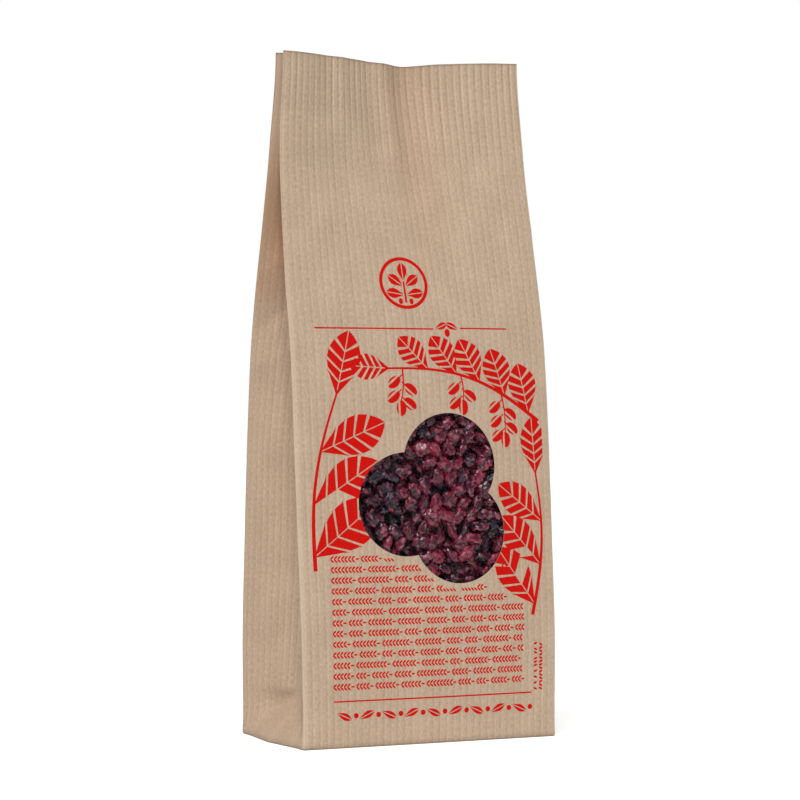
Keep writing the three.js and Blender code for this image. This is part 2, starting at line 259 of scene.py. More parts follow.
@lru_cache(maxsize=None)
def level(z):
    """The stretches of the folded outline at a height: start and length in flat paper, ends, and swell."""
    w = profile(CREASE_WIDTH, z) / 2
    d = profile(CREASE_DEPTH, z) / 2
    fold = profile(FOLD_IN, z)
    foot = min(z / FOLD_FOOT, 1)
    share = max(foot, FOOT_START) * FOOT_SHARE
    beside = w - fold * (1 if foot < 1 else 2 * FOOT_SHARE)
    middle = w - fold + FOOT_BOW * (1 - foot) ** 2
    reach = d - 2 * d * share
    half = [(-w, -d), (w, -d), (beside, -reach), (middle, 0), (beside, reach)]
    corners = half + [(-x, -y) for x, y in half]
    wall, strip = BAG_DEPTH * share, BAG_DEPTH * (0.5 - share)
    lengths = [BAG_WIDTH, wall, strip, strip, wall] * 2
    face_swell, wall_swell = profile(FACE_SWELL, z), profile(WALL_SWELL, z)
    swells = [face_swell, wall_swell, 0, 0, wall_swell] * 2
    starts = [sum(lengths[:i]) for i in range(len(lengths))]
    ends = corners[1:] + corners[:1]
    return list(zip(starts, lengths, corners, ends, swells))


def outline(z, u):
    """The place of the folded sheet at a height and a distance round it, with sharp creases."""
    stretches = level(z)
    u %= AROUND
    stretch = next((s for s in stretches if u <= s[0] + s[1]), stretches[-1])
    start, length, (ax, ay), (bx, by), swell = stretch
    t = (u - start) / length
    far = math.hypot(bx - ax, by - ay)
    out = swell * math.sin(math.pi * t)
    return ax + (bx - ax) * t + out * (by - ay) / far, ay + (by - ay) * t - out * (bx - ax) / far


# Soft folds of the used bag: from (u, z) to (u, z), how far out the line stands, and how far it fades.
# Those of a side wall count u inward from its crease
SIDE_FOLDS = (
    ((0, 131), (22, 147), -1.1, 9),
    ((4, 152), (17, 160), 0.8, 13),
    ((2, 121), (22, 129), 0.8, 10),
    ((0, 96), (18, 92), 0.3, 7),
    ((0, 56), (20, 53), -0.3, 9),
)
FRONT_FOLDS = (
    ((36.5, 226), (38, 194), -0.9, 6),
    ((42.5, 226), (45, 192), 0.9, 5),
    ((18, 226), (19, 204), -0.5, 6),
    ((24, 226), (26, 200), 0.7, 6),
    ((3, 226), (3, 128), 0.35, 13),
    ((54, 226), (58, 196), -0.5, 6),
    ((61, 226), (66, 188), 0.9, 6),
    ((80, 226), (84, 150), 0.25, 7),
    ((86, 166), (70, 158), 0.3, 9),
)
CREASES = (0, FRONT_RIGHT, BACK_RIGHT, BACK_LEFT, AROUND)

# How far the ridge of a fold is rounded
FOLD_SOFTNESS = 0.35

# How near to the front left crease, where u starts again, a fold beyond it is still felt
WRAP_REACH = 16

# How far from a crease it still flattens the waves, and the height over which they grow from the foot
CREASE_REACH = 7.0
CALM_FOOT = 6.0

# Waves of handled paper: how far they stand out, and how long they are across and up the sheet
SLOW_WAVES = (0.28, 26, 34)
FINE_WAVES = (0.05, 6, 8)

# How far the side walls keep clear of the front and the back in the pinched top
PINCH_CLEARANCE = 0.5

# Heights from and to which these grow or fade: that clearance, the painted light of the pinched folds, the
# pale line of a front crease (wear and painted highlight), the painted shade in the valley, the painted shade
# of the side folds, and the ribs' clearness at the top
CLEARANCE_GROWS = (150, 190)
PAINTED_LIGHT_FOLDS_GROW = (165, 195)
PALE_LINE_FADES = (128, 165)
VALLEY_SHADE_GROWS = (140, 190)
PAINTED_SHADE_FOLDS_FADE = (184, 203)
RIBS_GROW = (184, 212)

# The line where the painted shade of a side fold starts, as (distance in from its crease, height)
PAINTED_SHADE_START = (0, 138)
PAINTED_SHADE_END = (22, 147)

# Half the width of a front crease's pale line (wear and painted highlight), of a back crease's painted dark
# line, and of the painted shade in the valley
PALE_LINE = 1.3
DARK_LINE = 0.8
VALLEY_SHADE = 8

# How steeply the edges of the triangles at the foot of a side climb
TRIANGLE_RISE = 0.8


def side_folds():
    """The folds that each half of a side wall takes, inward from its crease."""
    folds = []
    for crease, way in ((AROUND, -1), (FRONT_RIGHT, 1), (BACK_RIGHT, -1), (BACK_LEFT, 1)):
        for (start, low), (end, high), height, reach in SIDE_FOLDS:
            folds.append(((crease + start * way, low), (crease + end * way, high), height, reach))
    return folds


WALL_FOLDS = side_folds()


def line_distance(u, z, start, end):
    """How far a place on the sheet is from a straight line on it."""
    along = (end[0] - start[0], end[1] - start[1])
    size = along[0] ** 2 + along[1] ** 2
    t = ((u - start[0]) * along[0] + (z - start[1]) * along[1]) / size
    t = min(max(t, 0), 1)
    return math.hypot(u - start[0] - along[0] * t, z - start[1] - along[1] * t)


def fold_distance(u, z, start, end):
    """How far a place on the sheet is from a fold, also past the front left crease, where u starts again."""
    away = line_distance(u, z, start, end)
    return min(away, line_distance(u + AROUND, z, start, end)) if u < WRAP_REACH else away


def raised(u, z, folds):
    """How far a group of folds lifts the paper."""
    out = 0.0
    for start, end, height, reach in folds:
        away = math.hypot(fold_distance(u, z, start, end), FOLD_SOFTNESS) - FOLD_SOFTNESS
        if away < reach:
            out += height * (1 - away / reach) ** 2
    return out


def inward(u):
    """How far in from the nearest crease of a side wall a place lies, 0 on the front and the back."""
    nearest = min(abs(u % AROUND - middle) for middle in (SIDE_MIDDLE_RIGHT, SIDE_MIDDLE_LEFT))
    return max(BAG_DEPTH / 2 - nearest, 0)


def waves(u, z, sizes, layer):
    """Waves of one kind, each kind from a layer of noise of its own."""
    height, across, up = sizes
    return height * noise.noise(Vector((u / across, z / up, layer)))


def relief(u, z):
    """How far the paper stands out from its plain folded form. Beside a crease its waves lie flatter."""
    u %= AROUND
    wave = waves(u, z, SLOW_WAVES, 2.5) + waves(u, z, FINE_WAVES, 7.5)
    beside_crease = between(min(abs(u - crease) for crease in CREASES), 0, CREASE_REACH)
    if u <= FRONT_RIGHT:
        return wave * beside_crease + raised(u, z, FRONT_FOLDS)
    away = inward(u)
    clear = PINCH_CLEARANCE * between(z, *CLEARANCE_GROWS)
    clear *= between(away, 0, 3)
    clear *= between(BAG_DEPTH / 2 - away, 0, 8)
    return (wave + raised(u, z, WALL_FOLDS)) * beside_crease + clear


def paper_point(u, z, out=0.0):
    """A place on the outer face of the paper, or out from it."""
    spread = [outline(z, u + k * CREASE_ROUND / 2) for k in (-2, -1, 0, 1, 2)]
    x = sum(p[0] for p in spread) / len(spread)
    y = sum(p[1] for p in spread) / len(spread)
    (ax, ay), (bx, by) = spread[0], spread[-1]
    far = math.hypot(bx - ax, by - ay)
    normal = ((by - ay) / far, -(bx - ax) / far)
    stand = out + relief(u, z) * min(z / CALM_FOOT, 1)
    x += normal[0] * stand
    y += normal[1] * stand
    bend = valley(x, z)
    return Vector((x, y + bend, z - bend * DROP_PER_DEPTH))


def columns():
    """Places round the sheet, closer together beside each crease."""
    stops = [SHEET_START, BACK_LEFT, SIDE_MIDDLE_LEFT, AROUND, AROUND + FRONT_RIGHT,
             AROUND + SIDE_MIDDLE_RIGHT, AROUND + BACK_RIGHT, SHEET_END - SEAM_WIDTH, SHEET_END]
    places = [stops[0]]
    for start, end in zip(stops, stops[1:]):
        count = max(round((end - start) / COLUMN_PITCH), 6)
        for k in range(1, count + 1):
            t = k / count
            crowded = 0.5 - 0.5 * math.cos(math.pi * t)
            places.append(start + (end - start) * (0.3 * t + 0.7 * crowded))
    return places


def rows():
    """Heights up the sheet. The lowest rows turn in under the base, and are given as (height, inset)."""
    bent = []
    for k in range(4):
        angle = k * math.pi / 8
        bent.append((BASE_BEND * (1 - math.cos(angle)), BASE_BEND * (1 - math.sin(angle))))
    count = 171
    top = BAG_HEIGHT - TOP_EDGE
    plain = [(BASE_BEND + (top - BASE_BEND) * k / count, 0.0) for k in range(count + 1)]
    return bent + plain + [(BAG_HEIGHT - TOP_EDGE / 2, 0.0), (BAG_HEIGHT, 0.0)]


def seam_lift(u):
    """The outer end of the sheet lies on its inner end."""
    return SEAM_STEP * between(u - SHEET_END + SEAM_WIDTH, -1, 0.2)


def wear_and_painted_light(u, z):
    """How far the paper is painted pale: worn and with a painted highlight along its front creases,
    and with painted light in the side folds at the pinched top.
    """
    u %= AROUND
    along_front = max(fading(u - crease, PALE_LINE) for crease in (0, FRONT_RIGHT, AROUND))
    pinched = between(z, *PAINTED_LIGHT_FOLDS_GROW) if inward(u) > 0 else 0
    return max(along_front * (1 - 0.8 * between(z, *PALE_LINE_FADES)), pinched)


def painted_shade(u, z):
    """How far painted shade darkens the paper: in the valley, along the back creases, and over the side
    walls, most deep in the side folds.
    """
    u %= AROUND
    away = inward(u)
    across = u - VALLEY_MIDDLE - BAG_WIDTH / 2
    share = 0.16 * fading(across, VALLEY_SHADE) * between(z, *VALLEY_SHADE_GROWS)
    if away > 0:
        start = PAINTED_SHADE_START[1] + (PAINTED_SHADE_END[1] - PAINTED_SHADE_START[1]) * away / PAINTED_SHADE_END[0]
        deep = 0.4 * between(z, start, start + 4) + 0.6 * between(z, start + 5, start + 26)
        share = 0.07 + deep * (0.4 + 0.4 * between(away, 2, 12)) * (1 - 0.6 * between(z, *PAINTED_SHADE_FOLDS_FADE))
    along_back = max(fading(u - crease, DARK_LINE) for crease in (BACK_RIGHT, BACK_LEFT))
    return min(share + 0.3 * along_back, 1.2)


def foot_shadow_and_top_line(_, z):
    """How far the paper is darkened: by a painted contact shadow along its foot, and along its cut top edge.
    """
    return 0.65 * fading(z, 0.7) + 0.6 * fading(BAG_HEIGHT - z, 0.5)


def pressed(u, z):
    """How clearly the ribs show: most at the top, and hardly in the triangles at the foot of a side."""
    away = inward(u)
    triangle = between(TRIANGLE_RISE * away - z, -1, 2) if away > 0 else 0
    return (0.7 + 0.8 * between(z, *RIBS_GROW)) * (1 - 0.8 * triangle)


# The marks: wear with a painted highlight and painted light, painted shade, a painted foot shadow with a dark
# top edge, and the ribs' clearness
MARKS = {"wear_and_painted_light": wear_and_painted_light, "painted_shade": painted_shade, "foot_shadow_and_top_line": foot_shadow_and_top_line, "pressed": pressed}


def mark_paper(piece, flat):
    """Gives a piece its flat paper UV and its marks, from each point's place (u, z) on the flat sheet."""
    mesh = piece.data
    uvs = mesh.uv_layers.active or mesh.uv_layers.new()
    uvs.name = "flat_paper"
    for loop, uv in zip(mesh.loops, uvs.data):
        u, z = flat[loop.vertex_index]
        uv.uv = (u / UV_SPAN, z / UV_SPAN)
    for name, measure in MARKS.items():
        values = mesh.attributes.new(name, "FLOAT", "POINT")
        for item, place in zip(values.data, flat):
            item.value = measure(*place)


def folded_sheet():
    """The bag's one sheet of paper: a flat grid whose every point is folded to its place."""
    across, up = columns(), rows()
    piece = new_primitive(
        bpy.ops.mesh.primitive_grid_add, "paper_sheet",
        x_subdivisions=len(across) - 1, y_subdivisions=len(up) - 1, size=2,
    )
    flat = []
    for vertex in piece.data.vertices:
        column = round((vertex.co.x + 1) / 2 * (len(across) - 1))
        row = round((vertex.co.y + 1) / 2 * (len(up) - 1))
        u, (z, inset) = across[column], up[row]
        vertex.co = paper_point(u, z, seam_lift(u) - inset) * MM
        flat.append((u, z))
    mark_paper(piece, flat)
    return piece


# The window's punches stop this far in front of the bag's middle
PUNCH_STOP = 6.0


def punch_window(piece):
    """Cuts the three-lobed window through the front alone."""
    for number, (x, z) in enumerate(LOBES):
        punch = new_primitive(
            bpy.ops.mesh.primitive_cylinder_add, f"punch_{number}", vertices=72, radius=LOBE_RADIUS * MM,
            depth=BAG_DEPTH * MM, location=(x * MM, (-BAG_DEPTH / 2 - PUNCH_STOP) * MM, z * MM),
            rotation=(math.pi / 2, 0, 0),
        )
        place_in_mesh(punch)
        finish_with(piece, "BOOLEAN", operation="DIFFERENCE", object=punch, solver="EXACT")
        bpy.data.objects.remove(punch)


def make_bag(material):
    """The bag's folded sheet with its thickness and its window."""
    bag = folded_sheet()
    bag.name = "paper_bag_sheet"
    finish_with(bag, "SOLIDIFY", thickness=PAPER * MM, offset=-1)
    punch_window(bag)
    smooth(bag)
    dress(bag, material)
    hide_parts("paper_bag")


# Plates cut from sheet, for the base and the print

@lru_cache(maxsize=None)
def blank_plate(corners):
    """The mesh of one flat face with that many corners, for copies."""
    piece = new_primitive(
        bpy.ops.mesh.primitive_circle_add, f"blank_plate_{corners}",
        vertices=corners, radius=1, fill_type="NGON",
    )
    mesh = piece.data
    bpy.data.objects.remove(piece)
    return mesh


def plate(name, points, place):
    """A flat face with the given outline in its own plane, put in place by a function of its two numbers."""
    piece = bpy.data.objects.new(name, blank_plate(len(points)).copy())
    bpy.context.collection.objects.link(piece)
    for vertex, (a, b) in zip(piece.data.vertices, points):
        vertex.co = place(a, b)
    return piece


def base_flap(name, points, z, material):
    """One ply of the folded base, seen from below."""
    piece = plate(name, points, lambda x, y: Vector((x, y, z)) * MM)
    edit_all(piece, bpy.ops.mesh.normals_make_consistent, inside=False)
    finish_with(piece, "SOLIDIFY", thickness=PAPER * MM, offset=0)
    finish_with(piece, "BEVEL", width=0.05 * MM, segments=1)
    mark_paper(piece, [(vertex.co.x / MM, vertex.co.y / MM + BASE_PATTERN) for vertex in piece.data.vertices])
    dress(piece, material)


def make_base(material):
    """The block bottom: an inner ply, and the two long flaps folded over it."""
    wide = BAG_WIDTH / 2 - BASE_INSET
    deep = BAG_DEPTH / 2 - BASE_INSET
    point = wide - deep + FLAP_LAP / 2
    half_lap = FLAP_LAP / 2
    inner = [(-wide, -deep), (wide, -deep), (wide, deep), (-wide, deep)]
    base_flap("base_inner_ply", inner, INNER_PLY_Z, material)
    back = [(-wide, deep), (-point, half_lap), (-point, -half_lap)]
    back += [(-x, y) for x, y in reversed(back)]
    base_flap("base_back_flap", back, BACK_FLAP_Z, material)
    front = [(wide, -deep), (point, -half_lap), (point, FLAP_LAP)]
    front += [(-x, y) for x, y in reversed(front)]
    base_flap("base_front_flap", front, FRONT_FLAP_Z, material)


# The window film

# How thick it is, how far it lies behind the paper, how high its waves are, and how fine its mesh is
FILM = 0.05
FILM_GAP = 0.12
FILM_WAVE = 0.22
FILM_STEPS = 46


def window_box(margin):
    """The least and most x and the least and most height of the window with a margin."""
    xs = [lobe[0] for lobe in LOBES]
    zs = [lobe[1] for lobe in LOBES]
    reach = LOBE_RADIUS + margin
    return min(xs) - reach, max(xs) + reach, min(zs) - reach, max(zs) + reach


def outside_window(x, z):
    """How far outside the window's outline a place lies, negative inside it."""
    return min(math.hypot(x - lobe[0], z - lobe[1]) for lobe in LOBES) - LOBE_RADIUS


def make_film(material):
    """The clear sheet glued behind the window, with the slight waves of film that berries press on."""
    low_x, high_x, low_z, high_z = window_box(FILM_MARGIN)
    film = new_primitive(
        bpy.ops.mesh.primitive_grid_add, "window_film_sheet",
        x_subdivisions=FILM_STEPS, y_subdivisions=FILM_STEPS, size=2,
    )
    for vertex in film.data.vertices:
        x = low_x + (high_x - low_x) * (vertex.co.x + 1) / 2
        z = low_z + (high_z - low_z) * (vertex.co.y + 1) / 2
        inside = between(-outside_window(x, z), 0, 4)
        wave = FILM_WAVE * inside * noise.noise(Vector((x / 7, z / 9, 4.2)))
        vertex.co = paper_point(x + BAG_WIDTH / 2, z, -PAPER - FILM_GAP + wave) * MM
    finish_with(film, "SOLIDIFY", thickness=FILM * MM, offset=-1)
    smooth(film)
    dress(film, material)
    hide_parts("window_film")


# The berries

BERRY_LENGTH = (5.2, 7.2)
BERRY_RADIUS = (2.1, 2.7)

# The folds round a berry's skin, as (how many, least height, most height)
SKIN_FOLDS = ((2, 0.04, 0.14), (3, 0.04, 0.1), (5, 0.05, 0.12), (7, 0.04, 0.09))

# Segments and rings of the berries in the front layer and of those behind it, and how deep that layer goes
FRONT_DETAIL = (24, 14)
DEEP_DETAIL = (10, 6)
FRONT_LAYER = 4.4

# The layers behind the window, as (depth, pitch), the rows' share of a pitch, and a berry's straying and room
LAYERS = ((3.0, 4.9), (6.0, 4.7), (8.6, 4.9))
ROW_SHARE = 0.87
SCATTER = 1.2
BERRY_ROOM = 2.3

# The least and most depth of a berry's middle, and how deep the waves of the film reach
NEAREST = 2.7
DEEPEST = 9.6
FILM_DEPTH = PAPER + 0.25

# The berries on top of the filling: how many, and how far out they lie
TOP_COUNT = 60
TOP_ACROSS = 20
TOP_DEEP = 9

# How much paler a ridge of skin and darker a crease is painted, as painted highlight and shade, and how much
# painted shade darkens the layers behind the first
RIDGE_PAINTED_SHADING = 1.6
DEEP_PAINTED_SHADE = 0.3

# The bulk's lowest point, its gap to the paper, and the side fold at its foot
BULK_FLOOR = 1.6
BULK_GAP = 2.0
BULK_BEHIND_FRONT = 8.6
FOLD_AT_FOOT = 11.4


def shrivelled_berry(name, dice, detail):
    """One dried berry along X: a plump spindle whose skin has shrunk into long folds and sharp creases."""
    length, radius = dice.uniform(*BERRY_LENGTH), dice.uniform(*BERRY_RADIUS)
    berry = new_primitive(
        bpy.ops.mesh.primitive_uv_sphere_add, name, segments=detail[0], ring_count=detail[1], radius=1,
    )
    folds = [(count, dice.uniform(0, math.tau), dice.uniform(low, high))
             for count, low, high in SKIN_FOLDS]
    seed = dice.uniform(0, 90)
    flat = dice.uniform(0.6, 0.9)
    bend = dice.uniform(-0.4, 0.4)
    tone = berry.data.attributes.new("tone", "FLOAT", "POINT")
    for vertex, shown in zip(berry.data.vertices, tone.data):
        z, y, x = vertex.co
        angle = math.atan2(z, y)
        across = math.hypot(y, z) ** 0.8
        fold = 1 + sum(size * math.cos(count * angle + phase + 1.5 * x) for count, phase, size in folds)
        crease = abs(noise.noise(Vector((x * 2.3 + seed, y * 2.5, z * 2.5))))
        r = radius * across * fold * (0.8 + 0.8 * crease)
        # Painted highlight and shade: each point's tone is paler on a ridge and darker in creases and fold
        # hollows
        shown.value = RIDGE_PAINTED_SHADING * (crease - 0.22) + 0.8 * (fold - 1)
        vertex.co = (
            x * length / 2 * (0.9 + 0.3 * crease),
            r * math.cos(angle) + bend * radius * x * x,
            flat * r * math.sin(angle),
        )
    smooth(berry, 180)
    return berry


def settled(places, radius, low, high, rounds=80):
    """Pushes places apart until they pack loosely, each one kept between its limits."""
    for _ in range(rounds):
        apart = places[:, None, :] - places[None, :, :]
        gap = np.linalg.norm(apart, axis=2) + 1e-6
        push = np.clip(2 * radius - gap, 0, None)
        np.fill_diagonal(push, 0)
        places = places + 0.35 * (apart / gap[:, :, None] * push[:, :, None]).sum(axis=1)
        places = np.clip(places, low, high)
    return places


def window_places(dice):
    """Places of the berries that show: x, depth behind the paper, and height."""
    low_x, high_x, low_z, high_z = window_box(4)
    places = []
    for depth, pitch in LAYERS:
        for row in range(int((high_z - low_z) / pitch / ROW_SHARE) + 1):
            for column in range(int((high_x - low_x) / pitch) + 1):
                x = low_x + (column + row % 2 / 2) * pitch + dice.uniform(-SCATTER, SCATTER)
                z = low_z + row * pitch * ROW_SHARE + dice.uniform(-SCATTER, SCATTER)
                if outside_window(x, z) < 3.5 and (depth > 4 or dice.random() < 0.78):
                    places.append((x, depth + dice.uniform(-0.6, 0.6), z))
    return settled(np.array(places), BERRY_ROOM, (low_x, NEAREST, low_z), (high_x, DEEPEST, high_z))


def copied_berry(kind, shade, place):
    """A copy of one kind of berry, its points put in place by a function of their own places."""
    copy = kind.copy()
    copy.data = kind.data.copy()
    bpy.context.collection.objects.link(copy)
    for item, vertex in zip(copy.data.attributes["tone"].data, copy.data.vertices):
        item.value += shade
        vertex.co = place(vertex.co) * MM
    return copy


def behind_film(centre, turn):
    """Puts a berry's points behind the film, flattened where it presses on it."""
    def place(point):
        x, depth, z = Vector(centre) + turn @ point
        return paper_point(x + BAG_WIDTH / 2, z, -max(depth, FILM_DEPTH + 0.08))
    return place


def make_berries(material):
    """The berries that show: three layers behind the window, and those on top of the filling."""
    dice = random.Random(11)
    front_kinds = [shrivelled_berry(f"front_berry_{k}", dice, FRONT_DETAIL) for k in range(12)]
    deep_kinds = [shrivelled_berry(f"deep_berry_{k}", dice, DEEP_DETAIL) for k in range(6)]
    copies = []
    for centre in window_places(dice):
        kinds = front_kinds if centre[1] < FRONT_LAYER else deep_kinds
        spin, tilt, roll = dice.uniform(0, math.tau), dice.gauss(0, 0.3), dice.uniform(0, math.tau)
        turn = Euler((roll, spin, tilt)).to_matrix()
        hue = 0.5 + 0.5 * noise.noise(Vector((centre[0] / 9, centre[2] / 9, 3.3)))
        # Each berry's own tone, with painted shade on those behind the front layer
        shade = hue + dice.uniform(-0.25, 0.25) - DEEP_PAINTED_SHADE * between(centre[1], 3.5, 6)
        copies.append(copied_berry(dice.choice(kinds), shade, behind_film(centre, turn)))
    for _ in range(TOP_COUNT):
        x, y = dice.uniform(-TOP_ACROSS, TOP_ACROSS), dice.uniform(-TOP_DEEP, TOP_DEEP)
        away = max(abs(x) / TOP_ACROSS, abs(y) / TOP_DEEP)
        centre = Vector((x, y, FILL_TOP + FILL_DOME * (0.9 - 0.8 * away**2) - 1))
        turn = Euler((dice.uniform(0, math.tau), dice.gauss(0, 0.3), dice.uniform(0, math.tau))).to_matrix()
        kind = dice.choice(deep_kinds)
        copies.append(copied_berry(kind, dice.random(), lambda point: centre + turn @ point))
    for kind in front_kinds + deep_kinds:
        bpy.data.objects.remove(kind)
    berries = joined(copies, "dried_barberries")
    dress(berries, material)
    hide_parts("barberries")


def squarish(value):
    """Turns a circle's coordinate into that of a rounded square."""
    return math.copysign(math.sqrt(abs(value)), value)


def make_bulk(material):
    """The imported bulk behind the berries, between the two side folds, lumpy and kept clear of the paper."""
    around, up = 96, 44
    floor_rings, dome_rings = 4, 8
    bulk = new_primitive(
        bpy.ops.mesh.primitive_uv_sphere_add, "filling_bulk", segments=around, ring_count=up, radius=1,
    )
    back = (BULK_BEHIND_FRONT - BULK_GAP) / 2
    for vertex in bulk.data.vertices:
        x, y, z = vertex.co
        angle = math.atan2(y, x)
        ring = round(math.acos(min(max(-z, -1), 1)) / math.pi * up)
        share = min(ring / floor_rings, (up - ring) / dome_rings, 1)
        height = BULK_FLOOR + (FILL_TOP - BULK_FLOOR) * between(ring, floor_rings, up - dome_rings)
        dome = FILL_DOME * 0.7 * (1 - share**2) if ring > up / 2 else 0
        wide = profile(CREASE_WIDTH, height) / 2 - max(profile(FOLD_IN, height), FOLD_AT_FOOT) - BULK_GAP
        deep = (profile(CREASE_DEPTH, height) - BULK_BEHIND_FRONT - BULK_GAP) / 2
        px, py = wide * squarish(math.cos(angle)) * share, deep * squarish(math.sin(angle)) * share
        lump = 1 + 0.03 * noise.noise(Vector((px / 3, py / 3, height / 3)))
        vertex.co = Vector((px * lump, py * lump + back, height + dome)) * MM
    smooth(bulk, 180)
    shade = bulk.data.attributes.new("tone", "FLOAT", "POINT")
    for item in shade.data:
        item.value = 0.05
    dress(bulk, material)


# The print, a plain pattern of barberry twigs, rules and small marks in one red ink

# Where the print ends at the left and the right, how far it stands on the paper, and how thick it is
PRINT_LOW_X = -42.8
PRINT_HIGH_X = 41.8
INK_STAND = 0.03
INK_THICK = 0.045

# Cuts that let the print follow the curved paper: the two directions, as (axis, first, last), and their pitch
PRINT_CUTS = (((1, 0, 0), -39, 40), ((0, 0, 1), 9, 156))
PRINT_STEP = 3.0

# The bare line between two parts of a printed leaf or berry, and how far a leaf's teeth stand out
VEIN = 0.32
TOOTH = 0.5

# The rows of small twigs: the upper ones end further left, beside the right sprig
ROW_TOP = 59.6
ROW_COUNT = 13
ROW_PITCH = 3.35
ROW_START = -34.0
ROW_END = 33.2
SHORT_ROWS_ABOVE = 46
SHORT_ROW_END = 20.0
LEAFLET_PITCH = 1.16
LEAFLET_OFFSET = 0.53
LEAFLET_TURN = 44

# The row along the foot: its first leaf, as (x, z), and its pitch
FOOT_ROW = (-33.4, 10.2)
FOOT_PITCH = 7.75

# The emblem's middle, as (x, z), and its ring
EMBLEM = (-4.2, 147.8)
RING_RADIUS = 8
RING_STEPS = 48


def turned(points, x, z, degrees):
    """Points turned about the origin, then moved to (x, z)."""
    c, s = math.cos(math.radians(degrees)), math.sin(math.radians(degrees))
    return [(x + a * c - b * s, z + a * s + b * c) for a, b in points]


def oval(long, short, count=20):
    """An oval about the origin, its length along x."""
    angles = [math.tau * k / count for k in range(count)]
    return [(long / 2 * math.cos(angle), short / 2 * math.sin(angle)) for angle in angles]


def bar(x, z, length, height):
    """An upright rectangle from its lower left corner."""
    return [(x, z), (x + length, z), (x + length, z + height), (x, z + height)]


def arc(start, end, bow, count):
    """Points from start to end, bowed to the left of the way."""
    dx, dz = end[0] - start[0], end[1] - start[1]
    size = math.hypot(dx, dz)
    points = []
    for k in range(count + 1):
        lift = bow * math.sin(math.pi * k / count) / size
        points.append((start[0] + dx * k / count - dz * lift, start[1] + dz * k / count + dx * lift))
    return points


def stroke(points, width, end_width=None):
    """A band along a line of points, as one outline."""
    end_width = width if end_width is None else end_width
    left, right = [], []
    last = len(points) - 1
    for i, (x, z) in enumerate(points):
        before, after = points[max(i - 1, 0)], points[min(i + 1, last)]
        along = math.hypot(after[0] - before[0], after[1] - before[1])
        across = (-(after[1] - before[1]) / along, (after[0] - before[0]) / along)
        half = (width + (end_width - width) * i / last) / 2
        left.append((x + across[0] * half, z + across[1] * half))
        right.append((x - across[0] * half, z - across[1] * half))
    return left + right[::-1]


def leaf(x, z, degrees, length, width, veins=5):
    """A barberry leaf, broadest past its middle, with a toothed edge and its veins left bare."""
    gap = VEIN / length
    slant = 0.16

    def place(t, side, share=1.0, tooth=0.0):
        t = min(max(t, 0.0), 1.0)
        half = (width / 2 * math.sin(math.pi * t**1.3) ** 0.75 + tooth) * share
        return t * length, side * max(half, VEIN / 2)

    outlines = []
    for side in (-1, 1):
        for k in range(veins):
            low = 0.04 + 0.8 * k / veins + gap
            high = 0.04 + 0.8 * (k + 1) / veins - gap
            edge_low, edge_high = low + slant, high + slant
            if k == 0:
                low = edge_low = 0.0
            if k == veins - 1:
                high, edge_high = 0.97, 1.0
            edge = [place(edge_low + (edge_high - edge_low) * j / 5, side) for j in range(5)]
            tip = place(edge_high, side, tooth=TOOTH if k < veins - 1 else 0)
            outline = [place(low, side, 0), *edge, tip, place(high, side, 0)]
            outlines.append(turned(outline, x, z, degrees))
    return outlines


def berry_print(x, z, degrees):
    """A berry with the bare line of a highlight along one side."""
    long, short = 5.0, 3.3
    edge = -short * 0.24
    body = oval(long, short, 28)
    lit = [point for point in body if point[1] < edge - VEIN / 2]
    rest = [point for point in body if point[1] > edge + VEIN / 2]
    return [turned(lit, x, z, degrees), turned(rest, x, z, degrees)]


def raceme(x, z, berries, lean):
    """Oval berries on short stalks, in turn on both sides of a hanging stem."""
    length = 2.3 * berries + 1.5
    outlines = [stroke(arc((x, z), (x + lean, z - length), 0.5, 12), 0.55, 0.35)]
    for k in range(berries):
        t = (k + 0.9) / (berries + 0.6)
        joint_x, joint_z = x + lean * t, z - length * t
        degrees = -90 + (50 if k % 2 else -50)
        along_x, along_z = math.cos(math.radians(degrees)), math.sin(math.radians(degrees))
        outlines.append(stroke([(joint_x, joint_z), (joint_x + 1.6 * along_x, joint_z + 1.6 * along_z)], 0.4))
        outlines += berry_print(joint_x + 3.7 * along_x, joint_z + 3.7 * along_z, degrees)
    return outlines + berry_print(x + lean, z - length - 2.1, -90)


def sprig(stem, leaves, length, width, tip_share, spread):
    """Leaves along one side of a stem, smaller towards its tip, where a last one stands."""
    outlines = [stroke(stem, 1.3, 0.6)]
    last = len(stem) - 1
    for k in range(leaves):
        spot = 3 + round(k * (last - 6) / leaves)
        (ax, az), (bx, bz) = stem[spot], stem[spot + 1]
        heading = math.degrees(math.atan2(bz - az, bx - ax))
        size = 1 - (1 - tip_share) * k / leaves
        outlines += leaf(ax, az, heading + spread, length * size, width * size)
    return outlines + leaf(*stem[-2], heading, length * tip_share, width * tip_share)


def laurel_rows(dice):
    """Close rows of small laurel twigs of uneven length, under the window and beside its foot."""
    leaflet, bud = oval(1.55, 0.58, 8), oval(1.3, 0.55, 8)
    outlines = []
    for row in range(ROW_COUNT):
        z = ROW_TOP - row * ROW_PITCH
        x = ROW_START
        end = SHORT_ROW_END if z > SHORT_ROWS_ABOVE else ROW_END
        while x < end:
            for _ in range(dice.randint(3, 9)):
                for side in (1, -1):
                    outlines.append(turned(leaflet, x, z + LEAFLET_OFFSET * side, LEAFLET_TURN * side))
                x += LEAFLET_PITCH
            outlines.append(turned(bud, x + 0.1, z, 0))
            x += 1.9
    return [points for points in outlines if all(outside_window(*p) > 1.3 and p[0] < ROW_END for p in points)]


def side_marks(dice):
    """Two close upright lines of the finest marks, near the right edge."""
    outlines = []
    for x in (37.0, 39.0):
        z = 16.0
        while z < 31:
            outlines.append(turned(oval(1.5, 0.7, 8), x, z, dice.choice((24, -24))))
            z += dice.choice((1.1, 1.1, 1.1, 1.9))
    return outlines


